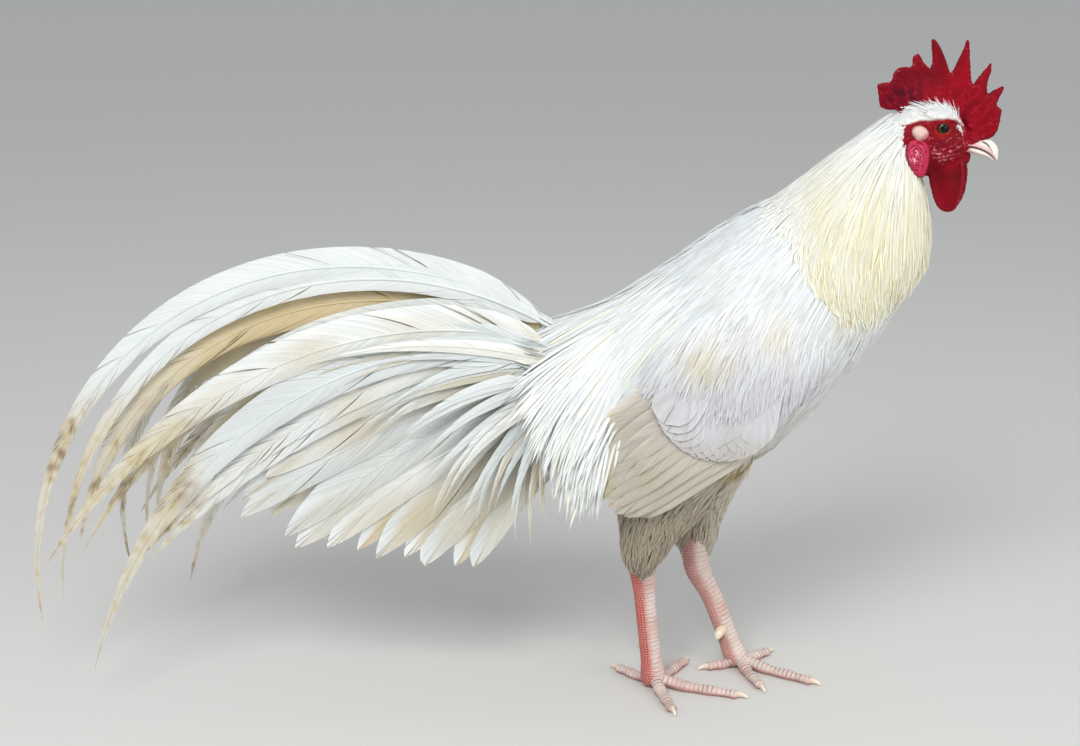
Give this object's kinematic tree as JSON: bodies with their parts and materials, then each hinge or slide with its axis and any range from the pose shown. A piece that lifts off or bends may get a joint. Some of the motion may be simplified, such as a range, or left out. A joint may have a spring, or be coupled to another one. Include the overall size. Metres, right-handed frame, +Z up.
{
  "type": "rooster",
  "caption": "Standing long-tailed white rooster, a still life-size figure with raised head, single comb and a tail of long sickle feathers that sweeps back and down.",
  "frame": {"origin": "middle of the bounding box, on the floor that the toes stand on", "axes": "+X from tail to beak, +Y towards the bird's left, +Z up"},
  "size_m": [0.7948, 0.1524, 0.545],
  "materials": {
    "body_feathers": "soft matt feather, bright white",
    "hackle_feathers": "soft feather with a light sheen, white to pale lemon cream",
    "wing_and_thigh_feathers": "soft matt feather, grey-beige cream",
    "tail_plumes": "smooth long feather vanes, white with tan undersides and stained tips",
    "comb_and_face_skin": "bare crimson skin, finely pebbled, slight gloss",
    "ear_lobe_skin": "bare wrinkled skin, red with a cream enamel patch",
    "eye": "wet gloss, amber brown iris and black pupil",
    "beak_horn": "satin horn, ivory to pinkish",
    "leg_scales": "satin scutes, pale pink in front and salmon behind",
    "claw_horn": "satin horn, cream"
  },
  "bodies": {
    "root": {"beak_lower": "beak_horn", "beak_upper": "beak_horn", "claw_left_hind": "claw_horn", "claw_left_inner": "claw_horn", "claw_left_middle": "claw_horn", "claw_left_outer": "claw_horn", "claw_right_hind": "claw_horn", "claw_right_inner": "claw_horn", "claw_right_middle": "claw_horn", "claw_right_outer": "claw_horn", "comb": "comb_and_face_skin", "ear_lobe_left": "ear_lobe_skin", "ear_lobe_right": "ear_lobe_skin", "eye_left": "eye", "eye_right": "eye", "head": "comb_and_face_skin", "neck": "hackle_feathers", "saddle_left": "body_feathers", "saddle_right": "body_feathers", "shank_left": "leg_scales", "shank_right": "leg_scales", "sickle_left_1": "tail_plumes", "sickle_left_2": "tail_plumes", "sickle_left_3": "tail_plumes", "sickle_left_4": "tail_plumes", "sickle_left_5": "tail_plumes", "sickle_left_6": "tail_plumes", "sickle_right_1": "tail_plumes", "sickle_right_2": "tail_plumes", "sickle_right_3": "tail_plumes", "sickle_right_4": "tail_plumes", "sickle_right_5": "tail_plumes", "sickle_right_6": "tail_plumes", "spur_left": "claw_horn", "spur_right": "claw_horn", "tail_feather_left_1": "tail_plumes", "tail_feather_left_2": "tail_plumes", "tail_feather_left_3": "tail_plumes", "tail_feather_left_4": "tail_plumes", "tail_feather_right_1": "tail_plumes", "tail_feather_right_2": "tail_plumes", "tail_feather_right_3": "tail_plumes", "tail_feather_right_4": "tail_plumes", "thigh_left": "wing_and_thigh_feathers", "thigh_right": "wing_and_thigh_feathers", "toe_left_hind": "leg_scales", "toe_left_inner": "leg_scales", "toe_left_middle": "leg_scales", "toe_left_outer": "leg_scales", "toe_right_hind": "leg_scales", "toe_right_inner": "leg_scales", "toe_right_middle": "leg_scales", "toe_right_outer": "leg_scales", "trunk": "body_feathers", "wattle_left": "comb_and_face_skin", "wattle_right": "comb_and_face_skin", "wing_left": "wing_and_thigh_feathers", "wing_right": "wing_and_thigh_feathers"}
  },
  "joints": []
}
